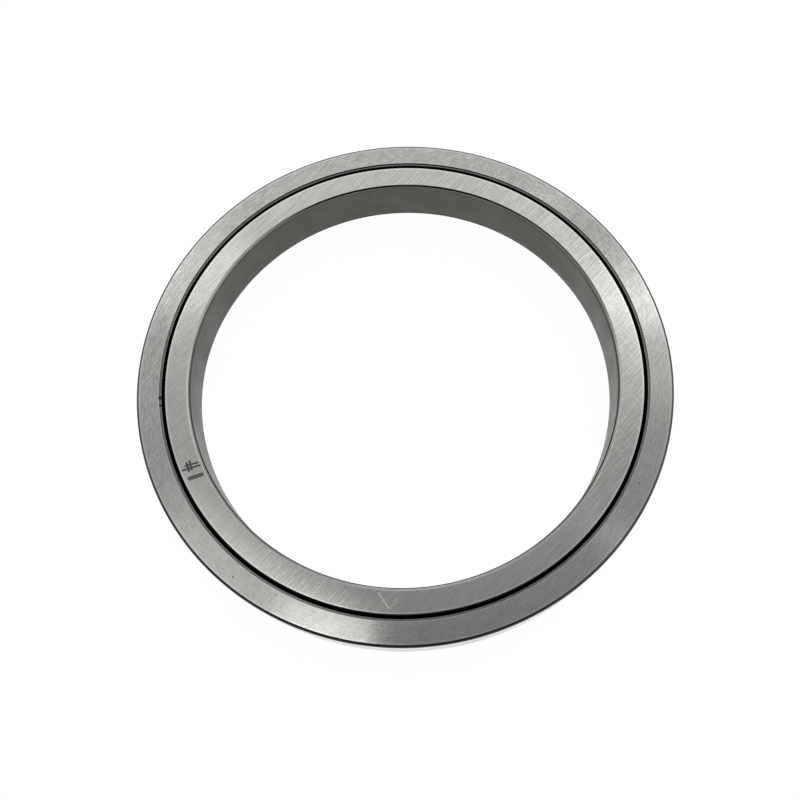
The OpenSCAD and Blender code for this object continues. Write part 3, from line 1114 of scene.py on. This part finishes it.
class BEARING_OT_rollers(bpy.types.Operator):
    """Turn the crossed rollers"""

    bl_idname = "bearing.rollers"
    bl_label = "Rollers"

    def execute(self, context):
        sizes, colours = context.scene.bearing.rollers, context.scene.bearing.colours
        steel = material_once(roller_lapped_steel, colours.roller, colours.grease)
        turned = lathe(self.outline(sizes), sizes.segments, [steel] * MARK, closed=False)
        # Painted shade on the rollers' ends
        self.shade_ends(turned, sizes)
        for name in ROLLERS:
            joint = JOINT_OF[name]
            mesh = turned.copy()
            lean = Vector(joint["axis"]).to_track_quat("Z", "Y").to_matrix().to_4x4()
            mesh.transform(Matrix.Translation(joint["pos_m"]) @ lean)
            finish_piece(name + "_lapped", mesh, name, [name])
        bpy.data.meshes.remove(turned)
        return {"FINISHED"}

    def outline(self, sizes):
        """Section of a roller, from the middle of one end to the other's, with points where the painted shade of
        its ends stops.
        """
        radius, half = sizes.diameter / 2, sizes.length / 2
        centre = (0, -half, FACE)
        rim = [(radius - sizes.chamfer, -half, FACE), (radius, sizes.chamfer - half, FACE)]
        other_end = [(radius, half - sizes.chamfer, FACE), (0, half, FACE)]
        looped = rounded_outline([centre, *rim, *other_end], sizes.edge_round)
        stops = sizes.grease_reach, sizes.grease_reach - sizes.grease_fade
        lower = [centre] + [(radius - stop, -half, FACE) for stop in stops]
        lower += [point for point in looped if point[0] > radius / 2 and point[1] < 0]
        lower += [(radius, stop - half, FACE) for stop in reversed(stops)]
        return lower + [(r, -z, zone) for r, z, zone in reversed(lower)]

    def shade_ends(self, mesh, sizes):
        """Marks how much painted shade lies on each point: all at a roller's two rims, none beyond the reach."""
        shares = []
        for vertex in mesh.vertices:
            inwards, along = sizes.diameter / 2 - vertex.co.xy.length, sizes.length / 2 - abs(vertex.co.z)
            left = sizes.grease_reach - math.hypot(inwards, along)
            shares.append(min(1.0, max(0.0, left / sizes.grease_fade)))
        mesh.attributes.new("grease", "FLOAT", "POINT").data.foreach_set("value", shares)


class BEARING_OT_spacers(bpy.types.Operator):
    """Give the spacers their moulded plastic"""

    bl_idname = "bearing.spacers"
    bl_label = "Spacers"

    def execute(self, context):
        plastic = material_once(spacer_moulded_plastic, context.scene.bearing.colours.spacer)
        for slot in frame["nodes"]["spacers"].material_slots:
            slot.material = plastic
        return {"FINISHED"}


class BEARING_OT_clips(bpy.types.Operator):
    """Make the clips that hold the two halves of the outer ring together"""

    bl_idname = "bearing.clips"
    bl_label = "Retaining clips"

    def execute(self, context):
        bearing = context.scene.bearing
        steel = material_once(clip_rolled_steel, bearing.colours.clip)
        first = angle_of(CLIPS[0])
        mesh = tree_mesh(
            clip_mesh(bearing.clips), round_copies, count=len(CLIPS), first_angle=first, material=steel
        )
        finish_piece("retaining_clips", mesh, "outer_ring", CLIPS)
        return {"FINISHED"}


class BEARING_OT_stage(bpy.types.Operator):
    """Lay the floor, light the room and set the camera"""

    bl_idname = "bearing.stage"
    bl_label = "Stage"

    # Gap under the bearing, steps round the floor, its matte grey and the glow that makes their mix white
    FLOOR_GAP, FLOOR_STEPS, FLOOR_GREY, FLOOR_WHITE = 0.05 * MM, 96, 0.9, 1.065
    # Start and span of the rise in brightness towards the back, along Y
    BACK_START, BACK_SPAN = -0.75, 1.35
    # Each wall's setting, then the smooth steps of its brightness along X and along Y
    WALLS = (
        ("right_wall", (0.4, 0.75), (0.3, 0.7, 1.0, 0.0)),
        ("left_wall", (-0.85, -0.7, 1.0, 0.0), (0.1, 0.35)),
    )
    # Steps along Z: how the room darkens near the floor, and where the low band fades out
    FLOOR_FADE = (0.0, 0.3, 0.6, 1.0)
    LOW_BAND = (0.2, 0.4)
    # Least height of a direction, which keeps x / z and y / z finite
    LEAST_Z = 0.05
    # Soft boxes overhead: brightness, then low and high edge and softness across x / z and across y / z
    SOFT_BOXES = (
        (0.95, 0.245, 0.42, 0.03, 0.437, 0.52, 0.03),
        (0.25, 0.18, 0.50, 0.08, 0.34, 0.52, 0.10),
        (0.60, 0.16, 0.23, 0.04, 0.59, 0.63, 0.02),
        (0.72, -0.42, -0.175, 0.04, 0.54, 0.615, 0.03),
        (0.07, -0.50, -0.08, 0.12, 0.55, 0.80, 0.10),
        (1.75, -0.20, -0.068, 0.010, 0.02, 0.106, 0.02),
        (0.70, 0.235, 0.285, 0.02, 0.12, 0.165, 0.02),
    )
    # One more soft box, turned by 45 degrees
    TURNED_BOX = (0.60, -0.20, 0.0, 0.06, 0.10, 0.40, 0.14)
    ROOM_COLOUR, WHITE = (1, 1, 0.985, 1), (1, 1, 1, 1)
    SENSOR_WIDTH, CLIP_START = 36.0, 0.01

    def execute(self, context):
        stage = context.scene.bearing.stage
        context.scene.view_settings.view_transform = "Standard"
        self.lay_floor(stage)
        self.light_room(context.scene, stage)
        self.set_camera(context.scene, stage)
        return {"FINISHED"}

    def lay_floor(self, stage):
        """A white floor just under the bearing; the camera and the metal see it mostly free of shadow."""
        work = bmesh.new()
        bmesh.ops.create_circle(work, cap_ends=True, segments=self.FLOOR_STEPS, radius=stage.floor_radius)
        mesh = mesh_of(work, "floor")
        floor = new_object("floor", mesh)
        floor.location.z = -self.FLOOR_GAP
        material = bpy.data.materials.new("white_floor")
        material.use_nodes = True
        build = NodeBuilder(material.node_tree)
        path = build.add("ShaderNodeLightPath").outputs
        mirrored_ray = build.math("MAXIMUM", path["Is Glossy Ray"], path["Is Transmission Ray"])
        seen = build.math("MAXIMUM", path["Is Camera Ray"], mirrored_ray)
        matte = build.add("ShaderNodeBsdfDiffuse", {"Color": shade([self.FLOOR_GREY] * 3, 1.0)})
        glow = build.add("ShaderNodeEmission", {"Color": self.WHITE, "Strength": self.FLOOR_WHITE})
        part = build.math("MULTIPLY", seen, stage.floor_glow)
        mixed = build.add("ShaderNodeMixShader", {0: part, 1: matte.outputs[0], 2: glow.outputs[0]})
        build.feed(material.node_tree.nodes["Material Output"].inputs["Surface"], mixed.outputs[0])
        mesh.materials.append(material)
        floor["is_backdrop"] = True

    def light_room(self, scene, stage):
        """A soft room: bright to the back and the right, dark behind the camera, soft boxes overhead."""
        world = bpy.data.worlds.new("studio_room")
        world.use_nodes = True
        scene.world = world
        build = NodeBuilder(world.node_tree)
        way = build.split(build.add("ShaderNodeTexCoord").outputs["Generated"])
        rise = build.math("SUBTRACT", way["Y"], self.BACK_START)
        back = build.math("DIVIDE", rise, self.BACK_SPAN, clamp=True)
        level = build.math("MULTIPLY", build.math("POWER", back, 2.0), stage.backward)
        for setting, step_x, step_y in self.WALLS:
            wall = build.math("MULTIPLY", build.ramp(way["X"], *step_x), build.ramp(way["Y"], *step_y))
            level = build.math("ADD", level, build.math("MULTIPLY", wall, getattr(stage, setting)))
        level = build.math("MULTIPLY", level, build.ramp(way["Z"], *self.FLOOR_FADE))
        up = build.math("MAXIMUM", way["Z"], self.LEAST_Z)
        across, away = build.math("DIVIDE", way["X"], up), build.math("DIVIDE", way["Y"], up)
        for box in self.SOFT_BOXES:
            level = build.math("ADD", level, self.soft_box(build, across, away, *box))
        turned = [
            build.math("MULTIPLY", build.math(operation, away, across), math.sqrt(0.5))
            for operation in ("ADD", "SUBTRACT")
        ]
        level = build.math("ADD", level, self.soft_box(build, *turned, *self.TURNED_BOX))
        low_band = build.ramp(way["Z"], *self.LOW_BAND, stage.low_band, 0.0)
        level = build.math("MAXIMUM", level, low_band)
        seen = build.add("ShaderNodeLightPath").outputs["Is Camera Ray"]
        shine = world.node_tree.nodes["Background"]
        build.feed(shine.inputs["Color"], build.mix(seen, self.ROOM_COLOUR, self.WHITE))
        build.feed(shine.inputs["Strength"], build.math("MAXIMUM", level, seen))

    def soft_box(self, build, first, second, brightness, *edges):
        """Brightness of a box with soft edges: low and high edge and softness in each of two directions."""
        level = brightness
        for value, (low, high, soft) in ((first, edges[:3]), (second, edges[3:])):
            half = soft / 2
            level = build.math("MULTIPLY", level, build.ramp(value, low - half, low + half))
            level = build.math("MULTIPLY", level, build.ramp(value, high - half, high + half, 1.0, 0.0))
        return level

    def set_camera(self, scene, stage):
        camera = bpy.data.cameras.new("camera")
        camera.lens = stage.lens
        camera.sensor_width = self.SENSOR_WIDTH
        camera.clip_start = self.CLIP_START
        eye = new_object("camera", camera)
        look = (Vector(stage.aim) - Vector(stage.eye)).to_track_quat("-Z", "Y").to_matrix().to_4x4()
        eye.matrix_world = Matrix.Translation(stage.eye) @ look @ Matrix.Rotation(stage.roll, 4, "Z")
        scene.camera = eye


OPERATORS = (
    BEARING_OT_inner_ring, BEARING_OT_outer_ring, BEARING_OT_rollers, BEARING_OT_spacers, BEARING_OT_clips,
    BEARING_OT_stage,
)


class BEARING_PT_panel(bpy.types.Panel):
    """Sizes, colours and makers of the bearing"""

    bl_idname = "BEARING_PT_panel"
    bl_label = "Crossed roller bearing"
    bl_space_type = "VIEW_3D"
    bl_region_type = "UI"
    bl_category = "Bearing"

    def draw(self, context):
        for operator in OPERATORS:
            self.layout.operator(operator.bl_idname)
        bearing = context.scene.bearing
        groups = bearing.rings, bearing.rollers, bearing.clips, bearing.marks, bearing.colours, bearing.stage
        for group in groups:
            box = self.layout.box()
            box.label(text=group.bl_rna.name)
            for key in group.bl_rna.properties.keys():
                if key not in ("rna_type", "name"):
                    box.prop(group, key)


CLASSES = (
    RingSizes, RollerSizes, ClipSizes, MarkSizes, FinishColours, StageSettings, BearingSettings, *OPERATORS,
    BEARING_PT_panel,
)


def register():
    for cls in CLASSES:
        bpy.utils.register_class(cls)
    bpy.types.Scene.bearing = PointerProperty(type=BearingSettings)


def unregister():
    del bpy.types.Scene.bearing
    for cls in reversed(CLASSES):
        bpy.utils.unregister_class(cls)


def main():
    register()
    bpy.ops.bearing.inner_ring()
    bpy.ops.bearing.outer_ring()
    bpy.ops.bearing.rollers()
    bpy.ops.bearing.spacers()
    bpy.ops.bearing.clips()
    bpy.ops.bearing.stage()
    boxes = {"cad": CAD_BOX, "visual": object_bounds()}
    {name: [list(corner) for corner in box] for name, box in boxes.items()}


if __name__ == "__main__":
    main()
